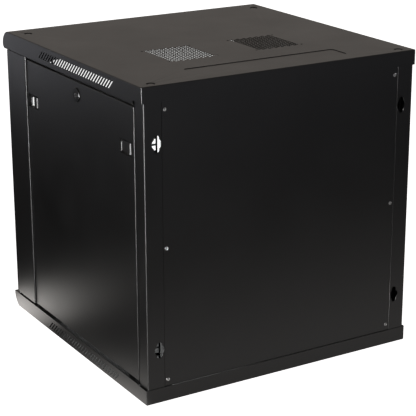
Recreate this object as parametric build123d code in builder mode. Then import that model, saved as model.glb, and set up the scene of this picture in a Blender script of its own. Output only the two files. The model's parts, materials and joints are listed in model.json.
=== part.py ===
from build123d import *
import math
import os

# Wall mount network cabinet, 12 rack units, seen with its door toward -Y and its wall side toward +Y.
# The origin is under the middle of the cabinet, on the plane that it stands on.

os.makedirs("parts", exist_ok=True)

# Overall size
width = 600.0
depth = 600.0
height = 604.0

# The rack that it holds
unit_height = 44.45
rack_base = 28.0
rack_head = 42.0
rack_opening = 450.0
rack_hole_spacing = 465.1
rack_hole_size = 9.5
rack_hole_first = 6.35
rack_hole_step = 15.875

# Sheet gauges
cover_sheet = 1.0
post_sheet = 1.5
panel_sheet = 1.0
rear_panel_sheet = 1.2
rail_sheet = 2.0
support_sheet = 1.5
door_sheet = 1.2
bend_inner = 1.0
cover_bend = 1.8
panel_bend = 1.8
step_bend = 0.9
door_bend = 2.0

# Clearances
seat_gap = 0.3
edge_gap = 0.8
pin_gap = 0.05
overrun = 5.0

# Bands of the top cover and the bottom tray
top_band = 37.4
tray_band = 31.0
rear_band = 29.5
band_lip = 16.0
nose_radius = 28.0
nose_under_radius = 9.4
tray_lip_top_setback = 3.0
tray_lip_foot_setback = 22.0
tray_lip_height = 30.0

# Vent slots in the bands
vent_count = 30
vent_pitch = 10.2
vent_first = -123.4
vent_height = 15.8
vent_slant = 16.4
vent_width = 4.6
top_vent_drop = 26.2
tray_vent_base = 6.5

# Fan places in the top cover
fan_hole_spacing = 105.0
fan_hole_radius = 2.4
fan_right_x = 103.8
fan_left_x = -89.1
fan_y = 91.2
fan_columns = 13
fan_rows = 13
fan_pitch = 8.4
fan_perforation_radius = 3.7
fan_perforation_sides = 6

# Cable entries
entry_length = 332.0
entry_width = 50.0
entry_corner = 6.0
entry_setback = 63.6
entry_plate_margin = 10.0
entry_plate_sheet = 1.2
entry_screw_inset = 5.0

# Dimples that take the corner bolts
dimple_radius = 8.5
dimple_depth = 4.0
dimple_side_inset = 28.5
dimple_front_inset = 67.5
dimple_rear_inset = 17.8
bolt_hole_radius = 3.3
bolt_radius = 2.9
bolt_head_radius = 5.5
bolt_head_height = 3.0
bolt_length = 7.0
lug_sheet = 2.0

# Posts
front_post_face = 29.0
front_post_width = 38.0
front_post_depth = 81.0
front_post_lip = 10.0
front_post_shelf = 34.0
post_inset = 6.0
post_foot_gap = 5.4
rear_post_step = 4.0
rear_post_depth = 33.6
rear_post_width = 36.0
rear_post_lip = 9.0
panel_land_width = 16.0
panel_land_step = 1.8

# Keyholes in the rear posts, for hanging the cabinet
keyhole_inset = 29.6
keyhole_low_z = 105.1
keyhole_drop = 105.9
keyhole_radius = 10.0
keyhole_slot_width = 10.8
keyhole_height = 32.0

# Rear panel
rear_panel_edge_gap = 0.5
rear_screw_inset = 7.1
rear_screw_low_z = 43.0
rear_screw_drop = 44.9
screw_hole_radius = 2.5
screw_radius = 2.0
screw_head_radius = 4.0
screw_head_height = 1.6
screw_length = 8.0

# Supports that carry the rails
support_drop = 12.4
support_low_z = 51.0
support_height = 28.0
support_flange = 10.0
support_slot_height = 7.0
support_slot_bridge = 46.0
support_tab_margin = 8.0
front_support_bolt_inset = 11.3
rear_support_bolt_inset = 4.7
support_bolt_head_height = 2.5

# Mounting rails
rail_inset = 81.0
rail_face_width = 37.0
rail_flank = 26.0
rail_margin = 4.0
rail_bolt_inset = 13.0
rail_bolt_radius = 2.9
rail_bolt_head = 5.0
rail_bolt_head_height = 3.0
rail_nut_radius = 5.2
rail_nut_height = 4.0

# Side panels
side_panel_recess = 3.0
side_panel_flange = 8.0
side_panel_foot_length = 24.0
side_panel_foot_inset = 40.0
side_panel_top_gap = 4.4

# Slide latches in the side panels
latch_length = 47.0
latch_height = 27.4
latch_front_inset = 28.2
latch_rear_inset = 33.0
latch_drop = 123.3
latch_corner = 2.0
latch_plate = 2.4
latch_recess = 2.0
latch_travel = 6.0
latch_window_length = 25.5
latch_window_height = 19.3
latch_window_drop = 3.1
latch_front_window = -2.3
latch_rear_window = -10.2
latch_window_bevel = 1.2
latch_back_opening = 13.0
latch_back_opening_shift = -17.2
latch_notch_length = 45.0
latch_notch_shift = -2.5
latch_notch_z = 10.2
latch_bolt_height = 12.0
latch_bolt_length = 9.2
latch_ridge_width = 3.0
latch_ridge_height = 3.0
latch_ridge_bevel = 1.8
latch_front_ridge = -13.0
latch_rear_ridge = 16.5
latch_housing_wall = 2.0
latch_housing_back = 1.5
latch_housing_near = 26.0
latch_housing_far = 33.5
latch_housing_height = 38.5

# Cam locks of the side panels
side_lock_shift = -0.9
side_lock_drop = 68.0
lock_bezel_radius = 14.4
lock_bezel_height = 2.0
lock_barrel_radius = 9.0
lock_barrel_length = 17.0
lock_plug_radius = 6.0
lock_plug_proud = 0.5
lock_slot_width = 1.6
lock_slot_length = 7.0
lock_slot_depth = 3.0
lock_square = 7.0
cam_sheet = 2.0
cam_width = 12.0
side_cam_reach = 38.5
lock_nut_radius = 12.5
lock_nut_height = 3.0
cam_screw_radius = 3.5
cam_screw_height = 1.6

# Front door
door_setback = 14.0
door_thickness = 12.0
door_side_gap = 2.5
door_top_gap = 1.6
door_low_gap = 3.5
door_stile = 44.5
door_rail = 34.0
door_return = 10.0
door_bevel = 3.5
door_corner = 3.0
door_glass_sheet = 4.0
door_glass_overlap = 9.0
door_seal_width = 6.0
door_seal_sheet = 1.0
door_lock_inset = 17.0
door_cam_reach = 26.0
door_lock_slot_width = 21.0
door_lock_slot_height = 64.0
door_bezel_radius = 12.0

# Hinge of the front door, on the +X side
hinge_inset = 8.0
hinge_pin_radius = 3.0
hinge_pin_tip = 6.5
hinge_pin_root = 5.0
hinge_block_width = 8.6
hinge_block_height = 9.0
hinge_block_lift = 3.6
hinge_collar_radius = 4.4
hinge_guide_height = 30.0
hinge_guide_ear = 7.0
hinge_guide_wall = 1.6
hinge_guide_width = 10.9
hinge_pin_collar_radius = 3.6
hinge_pin_collar_height = 2.0
hinge_lever_length = 17.0
hinge_lever_radius = 1.5
hinge_lever_drop = 10.0

# Places that follow from the sizes above
half_width = width / 2
rear_y = depth / 2
nose_y = -depth / 2
top_band_z = height - top_band
post_front_y = nose_y + front_post_face
front_post_rear_y = post_front_y + front_post_depth
post_back_y = rear_y - cover_sheet
rear_post_front_y = post_back_y - rear_post_depth
rear_post_x = half_width - rear_post_step
front_post_x = half_width
front_post_inner_x = half_width - front_post_width
post_base_z = cover_sheet + seat_gap
post_head_z = height - cover_sheet - seat_gap
post_main_base_z = tray_band + post_foot_gap
lip_inner_x = half_width - band_lip
land_y = post_back_y - panel_land_step
rear_post_inner_x = rear_post_x - rear_post_width
support_x = rack_opening / 2 + rail_face_width + rail_sheet + seat_gap
rack_units = int((height - rack_base - rack_head) / unit_height)
rail_low_z = rack_base - rail_margin
rail_high_z = rack_base + rack_units * unit_height + rail_margin
rail_y = depth / 2 - rail_inset
support_top_z = rail_high_z - support_drop
support_slot_length = rail_y - rail_bolt_inset + support_slot_height - support_slot_bridge / 2
front_support_bolt_x = front_post_inner_x + front_support_bolt_inset
rear_support_bolt_x = rear_post_inner_x - rear_support_bolt_inset
dimple_x = half_width - dimple_side_inset
dimple_front_y = nose_y + dimple_front_inset
dimple_rear_y = rear_y - dimple_rear_inset
entry_y = rear_y - entry_setback
keyhole_x = half_width - keyhole_inset
keyhole_high_z = height - keyhole_drop
rear_screw_x = rear_post_inner_x - rear_screw_inset
rear_screw_high_z = height - rear_screw_drop
rear_screw_middle_z = (rear_screw_low_z + rear_screw_high_z) / 2
side_low_z = post_main_base_z
side_high_z = top_band_z - side_panel_top_gap
side_front_y = front_post_rear_y + edge_gap
side_rear_y = rear_post_front_y - edge_gap
latch_front_y = front_post_rear_y + latch_front_inset
latch_rear_y = rear_post_front_y - latch_rear_inset
latch_z = height - latch_drop
side_lock_y = (side_front_y + side_rear_y) / 2 + side_lock_shift
side_lock_z = height - side_lock_drop
door_lock_x = door_lock_inset - half_width
door_lock_z = height / 2
hinge_x = half_width - hinge_inset
door_front_y = nose_y + door_setback
door_back_y = door_front_y + door_thickness
hinge_y = (door_front_y + door_back_y) / 2
hinge_block_depth = door_thickness - 2 * door_sheet


def keep(piece, name):
    """Label a finished piece and write it as one STEP file."""
    piece.part.label = name
    export_step(piece.part, f"parts/{name}.step")


def mirrored(piece):
    """Return the piece turned into its twin on the other side of the cabinet."""
    with BuildPart() as twin:
        mirror(piece.part, about=Plane.YZ)
    return twin


def sheet_outline(points, sheet, side, step_points=()):
    """Sketch a bent sheet from the line of its outer face, whose corners are sharp at step_points."""
    radii = [sheet + bend_inner] * (len(points) - 2)
    if step_points:
        radii += [0] * len(step_points)
    with BuildLine() as outline:
        FilletPolyline(*points, *step_points, radius=radii)
        offset(amount=sheet, side=side)
    make_face(outline.line)


# Top cover: one pan with a rounded nose over the door
dimple_places = [
    (dimple_x, dimple_front_y),
    (-dimple_x, dimple_front_y),
    (dimple_x, dimple_rear_y),
    (-dimple_x, dimple_rear_y),
]
fan_centres = [(fan_right_x, fan_y), (fan_left_x, fan_y)]
fan_column_step = fan_pitch * math.sin(math.radians(60))


def vent_row(base_z):
    """Sketch one row of slanted slots in a band, whose lowest points lie at base_z."""
    for index in range(vent_count):
        start = vent_first + index * vent_pitch
        Polygon(
            (start, base_z),
            (start + vent_width, base_z),
            (start + vent_width + vent_slant, base_z + vent_height),
            (start + vent_slant, base_z + vent_height),
            align=None,
        )


with BuildPart() as top_cover:
    with BuildSketch(Plane.YZ):
        with BuildLine():
            nose_top = (nose_y + nose_radius, height)
            nose_front = (nose_y, height - nose_radius)
            nose_foot = (nose_y + nose_under_radius, top_band_z)
            Line((rear_y, top_band_z), (rear_y, height))
            Line((rear_y, height), nose_top)
            TangentArc(nose_top, nose_front, tangent=(-1, 0))
            RadiusArc(nose_front, nose_foot, -nose_under_radius)
            Line(nose_foot, (rear_y, top_band_z))
        cover_profile = make_face()
    extrude(amount=half_width, both=True)
    # Folded edges
    cover_edges = top_cover.edges().filter_by(lambda edge: edge.center().Z > top_band_z + seat_gap)
    cover_ends = cover_edges.filter_by(lambda edge: abs(edge.center().X) > half_width - seat_gap)
    fillet(cover_ends + cover_edges.filter_by(Axis.X).sort_by(Axis.Y)[-1:], radius=cover_bend)
    with BuildSketch(Plane.YZ):
        offset(cover_profile, amount=-cover_sheet)
        with BuildLine():
            Polyline(
                (post_front_y - seat_gap, top_band_z - overrun),
                (rear_y - cover_sheet, top_band_z - overrun),
                (rear_y - cover_sheet, top_band_z + overrun),
                (post_front_y - seat_gap, top_band_z + overrun),
                close=True,
            )
        make_face()
    extrude(amount=half_width - cover_sheet, both=True, mode=Mode.SUBTRACT)
    # The band steps up over the rear posts
    with BuildSketch(Plane.XY.offset(height - rear_band)):
        with Locations((0, rear_post_front_y)):
            Rectangle(width + overrun, depth, align=(Align.CENTER, Align.MIN))
    extrude(amount=-top_band, mode=Mode.SUBTRACT)
    # Return lips along the sides, behind which the side cams turn
    with BuildSketch(Plane.XY.offset(top_band_z)):
        with Locations((0, front_post_rear_y + edge_gap)):
            Rectangle(
                width - cover_sheet,
                rear_post_front_y - front_post_rear_y - 2 * edge_gap,
                align=(Align.CENTER, Align.MIN),
            )
            Rectangle(
                2 * lip_inner_x,
                rear_post_front_y - front_post_rear_y - 2 * edge_gap,
                align=(Align.CENTER, Align.MIN),
                mode=Mode.SUBTRACT,
            )
    extrude(amount=cover_sheet)
    # Hole in the nose for the sprung hinge pin
    with BuildSketch(Plane.XY.offset(top_band_z - overrun)):
        with Locations((hinge_x, hinge_y)):
            Circle(hinge_pin_radius + pin_gap)
    extrude(amount=2 * overrun, mode=Mode.SUBTRACT)
    # Vents through both bands
    with BuildSketch(Plane.YZ):
        vent_row(height - top_vent_drop)
    extrude(amount=half_width + overrun, both=True, mode=Mode.SUBTRACT)
    # Pressed dimples
    with BuildSketch(Plane.XY.offset(height)):
        with Locations(*dimple_places):
            Circle(dimple_radius + cover_sheet)
    extrude(amount=-dimple_depth - cover_sheet)
    with BuildSketch(Plane.XY.offset(height)):
        with Locations(*dimple_places):
            Circle(dimple_radius)
    extrude(amount=-dimple_depth, mode=Mode.SUBTRACT)
    with BuildSketch(Plane.XY.offset(height)):
        with Locations(*dimple_places):
            Circle(bolt_hole_radius)
        with Locations((0, entry_y)):
            RectangleRounded(entry_length, entry_width, entry_corner)
        with Locations(*fan_centres):
            with GridLocations(fan_hole_spacing, fan_hole_spacing, 2, 2):
                Circle(fan_hole_radius)
            with Locations((0, -fan_pitch / 4)):
                with GridLocations(2 * fan_column_step, fan_pitch, (fan_columns + 1) // 2, fan_rows):
                    RegularPolygon(fan_perforation_radius, fan_perforation_sides)
            with Locations((0, fan_pitch / 4)):
                with GridLocations(2 * fan_column_step, fan_pitch, fan_columns // 2, fan_rows):
                    RegularPolygon(fan_perforation_radius, fan_perforation_sides)
    extrude(amount=-dimple_depth - overrun, mode=Mode.SUBTRACT)
keep(top_cover, "top_cover")

# Bottom tray: one pan with a curved lip under the door
tray_floor_front_y = nose_y + tray_lip_foot_setback
with BuildPart() as bottom_tray:
    with BuildSketch(Plane.YZ):
        with BuildLine():
            lip_top = (nose_y + tray_lip_top_setback, tray_lip_height)
            lip_foot = (tray_floor_front_y, 0)
            Line((rear_y, 0), (rear_y, tray_band))
            Line((rear_y, tray_band), (lip_top[0], tray_band))
            Line((lip_top[0], tray_band), lip_top)
            TangentArc(lip_top, lip_foot, tangent=(0, -1))
            Line(lip_foot, (rear_y, 0))
        tray_profile = make_face()
    extrude(amount=half_width, both=True)
    tray_edges = bottom_tray.edges().filter_by(lambda edge: edge.center().Z < tray_band - seat_gap)
    tray_ends = tray_edges.filter_by(lambda edge: abs(edge.center().X) > half_width - seat_gap)
    tray_rear_edge = tray_edges.filter_by(Axis.X).sort_by(Axis.Y)[-1:]
    fillet(tray_ends + tray_rear_edge, radius=cover_bend)
    with BuildSketch(Plane.YZ):
        offset(tray_profile, amount=-cover_sheet)
        with BuildLine():
            Polyline(
                (post_front_y - seat_gap, tray_band - overrun),
                (rear_y - cover_sheet, tray_band - overrun),
                (rear_y - cover_sheet, tray_band + overrun),
                (post_front_y - seat_gap, tray_band + overrun),
                close=True,
            )
        make_face()
    extrude(amount=half_width - cover_sheet, both=True, mode=Mode.SUBTRACT)
    with BuildSketch(Plane.XY.offset(rear_band)):
        with Locations((0, rear_post_front_y)):
            Rectangle(width + overrun, depth, align=(Align.CENTER, Align.MIN))
    extrude(amount=tray_band, mode=Mode.SUBTRACT)
    with BuildSketch(Plane.XY.offset(tray_band - cover_sheet)):
        with Locations((0, front_post_rear_y + edge_gap)):
            Rectangle(
                width - cover_sheet,
                rear_post_front_y - front_post_rear_y - 2 * edge_gap,
                align=(Align.CENTER, Align.MIN),
            )
            Rectangle(
                2 * lip_inner_x,
                rear_post_front_y - front_post_rear_y - 2 * edge_gap,
                align=(Align.CENTER, Align.MIN),
                mode=Mode.SUBTRACT,
            )
    extrude(amount=cover_sheet)
    with BuildSketch(Plane.YZ):
        vent_row(tray_vent_base)
    extrude(amount=half_width + overrun, both=True, mode=Mode.SUBTRACT)
    with BuildSketch(Plane.XY):
        with Locations(*dimple_places):
            Circle(dimple_radius + cover_sheet)
    extrude(amount=dimple_depth + cover_sheet)
    with BuildSketch(Plane.XY):
        with Locations(*dimple_places):
            Circle(dimple_radius)
    extrude(amount=dimple_depth, mode=Mode.SUBTRACT)
    with BuildSketch(Plane.XY):
        with Locations(*dimple_places):
            Circle(bolt_hole_radius)
        with Locations((0, entry_y)):
            RectangleRounded(entry_length, entry_width, entry_corner)
    extrude(amount=dimple_depth + overrun, mode=Mode.SUBTRACT)
    # Hole in the lip for the lower hinge pin
    with BuildSketch(Plane.XY.offset(tray_band + overrun)):
        with Locations((hinge_x, hinge_y)):
            Circle(hinge_pin_radius)
    extrude(amount=-2 * overrun, mode=Mode.SUBTRACT)
keep(bottom_tray, "bottom_tray")


# Cable entry plates, screwed to welded bushes behind their cut-outs
entry_screw_places = [
    (x_side * (entry_length / 2 - entry_width / 2), entry_y + y_side * (entry_width / 2 + entry_screw_inset))
    for x_side in (-1, 1)
    for y_side in (-1, 1)
]


def entry_plate(face_z, inward):
    """Make the plate that lies against the inner face at face_z, inward being the way into the cabinet."""
    with BuildPart() as plate:
        with BuildSketch(Plane.XY.offset(face_z)):
            with Locations((0, entry_y)):
                RectangleRounded(
                    entry_length + 2 * entry_plate_margin,
                    entry_width + 2 * entry_plate_margin,
                    entry_corner,
                )
            with Locations(*entry_screw_places):
                Circle(screw_hole_radius, mode=Mode.SUBTRACT)
        extrude(amount=inward * entry_plate_sheet)
    return plate


def entry_screws(face_z, inward):
    """Make the four screws of an entry plate, their heads inside the cabinet."""
    with BuildPart() as screws:
        with BuildSketch(Plane.XY.offset(face_z)):
            with Locations(*entry_screw_places):
                Circle(screw_radius)
        extrude(amount=inward * entry_plate_sheet)
        with BuildSketch(Plane.XY.offset(face_z + inward * entry_plate_sheet)):
            with Locations(*entry_screw_places):
                Circle(screw_head_radius)
        extrude(amount=inward * screw_head_height)
    return screws


keep(entry_plate(height - cover_sheet, -1), "cable_entry_plate_top")
keep(entry_plate(cover_sheet, 1), "cable_entry_plate_bottom")
keep(entry_screws(height - cover_sheet, -1), "entry_screws_top")
keep(entry_screws(cover_sheet, 1), "entry_screws_bottom")

# Posts
lug_low_z = dimple_depth + cover_sheet
lug_high_z = height - dimple_depth - cover_sheet - lug_sheet


def corner_lugs(low_x, high_x, low_y, high_y, hole_y):
    """Add the two plates inside a post that take the corner bolts."""
    for base_z in (lug_low_z, lug_high_z):
        with BuildSketch(Plane.XY.offset(base_z)) as lug:
            with Locations(((low_x + high_x) / 2, (low_y + high_y) / 2)):
                Rectangle(high_x - low_x, high_y - low_y)
            with Locations((dimple_x, hole_y)):
                Circle(bolt_radius, mode=Mode.SUBTRACT)
        extrude(lug.sketch, amount=lug_sheet)


def latch_slot(face_y, length):
    """Cut the slot that takes a latch bolt through a lip whose outer face is at face_y."""
    slot_x = latch_plate_x - latch_plate / 2
    with BuildSketch(Plane.XZ.offset(-face_y)) as slot:
        with Locations((slot_x, latch_z)):
            Rectangle(latch_plate + 2 * edge_gap, latch_bolt_height + 2 * edge_gap)
    extrude(slot.sketch, amount=length, both=True, mode=Mode.SUBTRACT)


panel_face_x = half_width - side_panel_recess
panel_inner_x = panel_face_x - panel_sheet
latch_plate_x = panel_inner_x - latch_recess - seat_gap

with BuildPart() as front_post_right:
    # Visible part, flush with the band above it
    with BuildSketch(Plane.XY.offset(post_main_base_z)):
        sheet_outline(
            [
                (front_post_inner_x, post_front_y),
                (front_post_x, post_front_y),
                (front_post_x, front_post_rear_y),
                (front_post_x - front_post_lip, front_post_rear_y),
            ],
            post_sheet,
            Side.LEFT,
        )
    extrude(amount=top_band_z - post_main_base_z)
    # Narrower foot and head, inside the tray and the cover
    for base_z, top_z in ((post_base_z, post_main_base_z), (top_band_z, post_head_z)):
        with BuildSketch(Plane.XY.offset(base_z)):
            sheet_outline(
                [
                    (front_post_inner_x, post_front_y),
                    (front_post_x - post_inset, post_front_y),
                    (front_post_x - post_inset, front_post_rear_y),
                    (front_post_x - front_post_lip, front_post_rear_y),
                ],
                post_sheet,
                Side.LEFT,
            )
        extrude(amount=top_z - base_z)
    for base_z in (post_main_base_z, top_band_z - post_sheet):
        with BuildSketch(Plane.XY.offset(base_z)):
            with Locations((front_post_x, post_front_y)):
                RectangleRounded(
                    front_post_shelf,
                    front_post_depth,
                    post_sheet + bend_inner,
                    align=(Align.MAX, Align.MIN),
                )
        extrude(amount=post_sheet)
    corner_lugs(
        front_post_inner_x,
        front_post_x - post_inset - post_sheet / 2,
        post_front_y + post_sheet / 2,
        front_post_rear_y - post_sheet / 2,
        dimple_front_y,
    )
    latch_slot(front_post_rear_y, 2 * post_sheet)
    # Holes for the bolts of the rail supports
    with BuildSketch(Plane.XZ.offset(-post_front_y)):
        for base_z in (support_low_z, support_top_z - support_height):
            with Locations((front_support_bolt_x, base_z + support_height / 2)):
                Circle(screw_radius)
    extrude(amount=2 * post_sheet, both=True, mode=Mode.SUBTRACT)
with BuildPart() as front_post_left:
    add(mirrored(front_post_right).part)
    # Slot that lets the cam of the door lock in
    with BuildSketch(Plane.XZ.offset(-post_front_y)):
        with Locations((door_lock_x, door_lock_z)):
            RectangleRounded(door_lock_slot_width, door_lock_slot_height, entry_corner)
    extrude(amount=2 * post_sheet, both=True, mode=Mode.SUBTRACT)
keep(front_post_right, "front_post_right")
keep(front_post_left, "front_post_left")

rear_screw_heights = [rear_screw_low_z, rear_screw_middle_z, rear_screw_high_z]
with BuildPart() as rear_post_right:
    with BuildSketch(Plane.XY.offset(post_base_z)):
        sheet_outline(
            [
                (rear_post_x - rear_post_lip, rear_post_front_y),
                (rear_post_x, rear_post_front_y),
                (rear_post_x, post_back_y),
                (rear_post_inner_x, post_back_y),
            ],
            post_sheet,
            Side.LEFT,
            [(rear_post_inner_x, land_y), (rear_post_inner_x - panel_land_width, land_y)],
        )
    extrude(amount=post_head_z - post_base_z)
    step_edge = rear_post_right.edges().filter_by(Axis.Z).sort_by_distance(
        (rear_post_inner_x, post_back_y, height / 2)
    )[0]
    fillet(step_edge, radius=step_bend)
    corner_lugs(
        rear_post_inner_x + post_sheet,
        rear_post_x - post_sheet / 2,
        rear_post_front_y + post_sheet / 2,
        post_back_y - post_sheet / 2,
        dimple_rear_y,
    )
    latch_slot(rear_post_front_y, 2 * post_sheet)
    # Keyholes, cut through the rear wall
    with BuildSketch(Plane.XZ.offset(-post_back_y)):
        with Locations((keyhole_x, keyhole_low_z), (keyhole_x, keyhole_high_z)):
            Circle(keyhole_radius)
            SlotOverall(keyhole_height, keyhole_slot_width, rotation=90)
    extrude(amount=post_sheet + seat_gap, both=True, mode=Mode.SUBTRACT)
    # Holes for the screws of the rear panel and for the bolts of the rail supports
    with BuildSketch(Plane.XZ.offset(-land_y)):
        for screw_z in rear_screw_heights:
            with Locations((rear_screw_x, screw_z)):
                Circle(screw_radius)
        for base_z in (support_low_z, support_top_z - support_height):
            with Locations((rear_support_bolt_x, base_z + support_height / 2)):
                Circle(screw_radius)
    extrude(amount=2 * post_sheet, both=True, mode=Mode.SUBTRACT)
keep(rear_post_right, "rear_post_right")
keep(mirrored(rear_post_right), "rear_post_left")


def corner_bolts(floor_z, outward):
    """Make the four bolts whose heads lie in the dimples, outward being the way out of the cabinet."""
    with BuildPart() as bolts:
        with BuildSketch(Plane.XY.offset(floor_z)):
            with Locations(*dimple_places):
                Circle(bolt_head_radius)
        extrude(amount=outward * bolt_head_height)
        with BuildSketch(Plane.XY.offset(floor_z)):
            with Locations(*dimple_places):
                Circle(bolt_radius)
        extrude(amount=-outward * bolt_length)
    return bolts


keep(corner_bolts(height - dimple_depth, 1), "corner_bolts_top")
keep(corner_bolts(dimple_depth, -1), "corner_bolts_bottom")

# Rear panel
panel_low_z = rear_band + rear_panel_edge_gap
panel_high_z = height - rear_band - rear_panel_edge_gap
with BuildPart() as rear_panel:
    with BuildSketch(Plane.XZ.offset(-land_y)):
        with Locations((0, (panel_low_z + panel_high_z) / 2)):
            Rectangle(2 * (rear_post_inner_x - rear_panel_edge_gap), panel_high_z - panel_low_z)
        for screw_z in rear_screw_heights:
            with Locations((rear_screw_x, screw_z), (-rear_screw_x, screw_z)):
                Circle(screw_hole_radius, mode=Mode.SUBTRACT)
    extrude(amount=-rear_panel_sheet)
keep(rear_panel, "rear_panel")

with BuildPart() as rear_panel_screws:
    with BuildSketch(Plane.XZ.offset(-land_y - rear_panel_sheet)):
        for screw_z in rear_screw_heights:
            with Locations((rear_screw_x, screw_z), (-rear_screw_x, screw_z)):
                Circle(screw_head_radius)
    extrude(amount=-screw_head_height)
    with BuildSketch(Plane.XZ.offset(-land_y - rear_panel_sheet)):
        for screw_z in rear_screw_heights:
            with Locations((rear_screw_x, screw_z), (-rear_screw_x, screw_z)):
                Circle(screw_radius)
    extrude(amount=screw_length)
keep(rear_panel_screws, "rear_panel_screws")

# Supports, which run from post to post and carry the rails
support_front_y = post_front_y + post_sheet
support_rear_y = land_y - post_sheet
front_bolt_y = -rail_y + rail_bolt_inset
rear_bolt_y = rail_y - rail_bolt_inset
slot_shift = support_slot_length / 2 - support_slot_height
front_tab_x = front_support_bolt_x + support_tab_margin
rear_tab_low_x = min(support_x, rear_support_bolt_x - support_tab_margin)
rear_tab_high_x = max(support_x + support_sheet, rear_support_bolt_x + support_tab_margin)


def rail_support(base_z):
    """Make the right-hand support whose underside is at base_z."""
    with BuildPart() as support:
        with BuildSketch(Plane.XZ.offset(-support_rear_y)):
            sheet_outline(
                [
                    (support_x + support_flange, base_z),
                    (support_x, base_z),
                    (support_x, base_z + support_height),
                    (support_x + support_flange, base_z + support_height),
                ],
                support_sheet,
                Side.RIGHT,
            )
        extrude(amount=support_rear_y - support_front_y)
        # End tabs, which reach the bolts of the front post and of the rear post
        with BuildSketch(Plane.XZ.offset(-support_front_y)):
            with Locations((support_x, base_z)):
                Rectangle(front_tab_x - support_x, support_height, align=(Align.MIN, Align.MIN))
        extrude(amount=-support_sheet)
        with BuildSketch(Plane.XZ.offset(-support_rear_y)):
            with Locations((rear_tab_low_x, base_z)):
                Rectangle(rear_tab_high_x - rear_tab_low_x, support_height, align=(Align.MIN, Align.MIN))
        extrude(amount=support_sheet)
        # Bolt holes in the tabs
        with BuildSketch(Plane.XZ.offset(-support_front_y)):
            with Locations((front_support_bolt_x, base_z + support_height / 2)):
                Circle(screw_hole_radius)
        extrude(amount=-2 * support_sheet, mode=Mode.SUBTRACT)
        with BuildSketch(Plane.XZ.offset(-support_rear_y)):
            with Locations((rear_support_bolt_x, base_z + support_height / 2)):
                Circle(screw_hole_radius)
        extrude(amount=2 * support_sheet, mode=Mode.SUBTRACT)
        # Slots along which the rails are set
        with BuildSketch(Plane.YZ.offset(support_x)):
            with Locations(
                (front_bolt_y + slot_shift, base_z + support_height / 2),
                (rear_bolt_y - slot_shift, base_z + support_height / 2),
            ):
                SlotOverall(support_slot_length, support_slot_height)
        extrude(amount=2 * support_sheet, both=True, mode=Mode.SUBTRACT)
    return support


def support_bolts():
    """Make the screws that hold the four supports to the posts."""
    with BuildPart() as bolts:
        for side in (-1, 1):
            for base_z in (support_low_z, support_top_z - support_height):
                middle_z = base_z + support_height / 2
                front_x = side * front_support_bolt_x
                rear_x = side * rear_support_bolt_x
                with BuildSketch(Plane.XZ.offset(-support_front_y - support_sheet)) as head:
                    with Locations((front_x, middle_z)):
                        Circle(screw_head_radius)
                extrude(head.sketch, amount=-support_bolt_head_height)
                with BuildSketch(Plane.XZ.offset(-support_front_y - support_sheet)) as shank:
                    with Locations((front_x, middle_z)):
                        Circle(screw_radius)
                extrude(shank.sketch, amount=support_sheet + post_sheet)
                with BuildSketch(Plane.XZ.offset(-support_rear_y + support_sheet)) as rear_head:
                    with Locations((rear_x, middle_z)):
                        Circle(screw_head_radius)
                extrude(rear_head.sketch, amount=support_bolt_head_height)
                with BuildSketch(Plane.XZ.offset(-support_rear_y + support_sheet)) as rear_shank:
                    with Locations((rear_x, middle_z)):
                        Circle(screw_radius)
                extrude(rear_shank.sketch, amount=-support_sheet - post_sheet)
    return bolts


for level, base_z in (("lower", support_low_z), ("upper", support_top_z - support_height)):
    right_support = rail_support(base_z)
    keep(right_support, f"rail_support_{level}_right")
    keep(mirrored(right_support), f"rail_support_{level}_left")
keep(support_bolts(), "support_bolts")

# Mounting rails, with three square holes to each unit
rail_inner_x = rack_opening / 2
rail_outer_x = rail_inner_x + rail_face_width + rail_sheet
rail_hole_x = rack_hole_spacing / 2


def mounting_rail(facing):
    """Make a right-hand rail: its face looks toward -Y where facing is -1, and toward +Y where it is 1."""
    face_y = facing * rail_y
    with BuildPart() as rail:
        with BuildSketch(Plane.XY.offset(rail_low_z)):
            sheet_outline(
                [
                    (rail_inner_x, face_y),
                    (rail_outer_x, face_y),
                    (rail_outer_x, face_y - facing * rail_flank),
                ],
                rail_sheet,
                Side.LEFT if facing < 0 else Side.RIGHT,
            )
        extrude(amount=rail_high_z - rail_low_z)
        with BuildSketch(Plane.XZ.offset(-face_y)):
            for unit in range(rack_units):
                for step in range(3):
                    hole_z = rack_base + unit * unit_height + rack_hole_first + step * rack_hole_step
                    with Locations((rail_hole_x, hole_z)):
                        Rectangle(rack_hole_size, rack_hole_size)
        extrude(amount=2 * rail_sheet, both=True, mode=Mode.SUBTRACT)
        with BuildSketch(Plane.YZ.offset(rail_outer_x)):
            for base_z in (support_low_z, support_top_z - support_height):
                with Locations((face_y - facing * rail_bolt_inset, base_z + support_height / 2)):
                    Circle(rail_bolt_radius)
        extrude(amount=2 * rail_sheet, both=True, mode=Mode.SUBTRACT)
    return rail


def rail_bolts(facing):
    """Make the two bolts, with their nuts, that clamp a right-hand rail to its supports."""
    bolt_y = facing * (rail_y - rail_bolt_inset)
    with BuildPart() as bolts:
        for base_z in (support_low_z, support_top_z - support_height):
            with BuildSketch(Plane.YZ.offset(rail_outer_x - rail_sheet)) as head:
                with Locations((bolt_y, base_z + support_height / 2)):
                    Circle(rail_bolt_head)
            extrude(head.sketch, amount=-rail_bolt_head_height)
            nut_x = support_x + support_sheet + seat_gap
            with BuildSketch(Plane.YZ.offset(rail_outer_x - rail_sheet)) as shank:
                with Locations((bolt_y, base_z + support_height / 2)):
                    Circle(rail_bolt_radius)
            extrude(shank.sketch, amount=nut_x - rail_outer_x + rail_sheet)
            with BuildSketch(Plane.YZ.offset(nut_x)) as nut:
                with Locations((bolt_y, base_z + support_height / 2)):
                    RegularPolygon(rail_nut_radius, 6)
            extrude(nut.sketch, amount=rail_nut_height)
    return bolts


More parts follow.
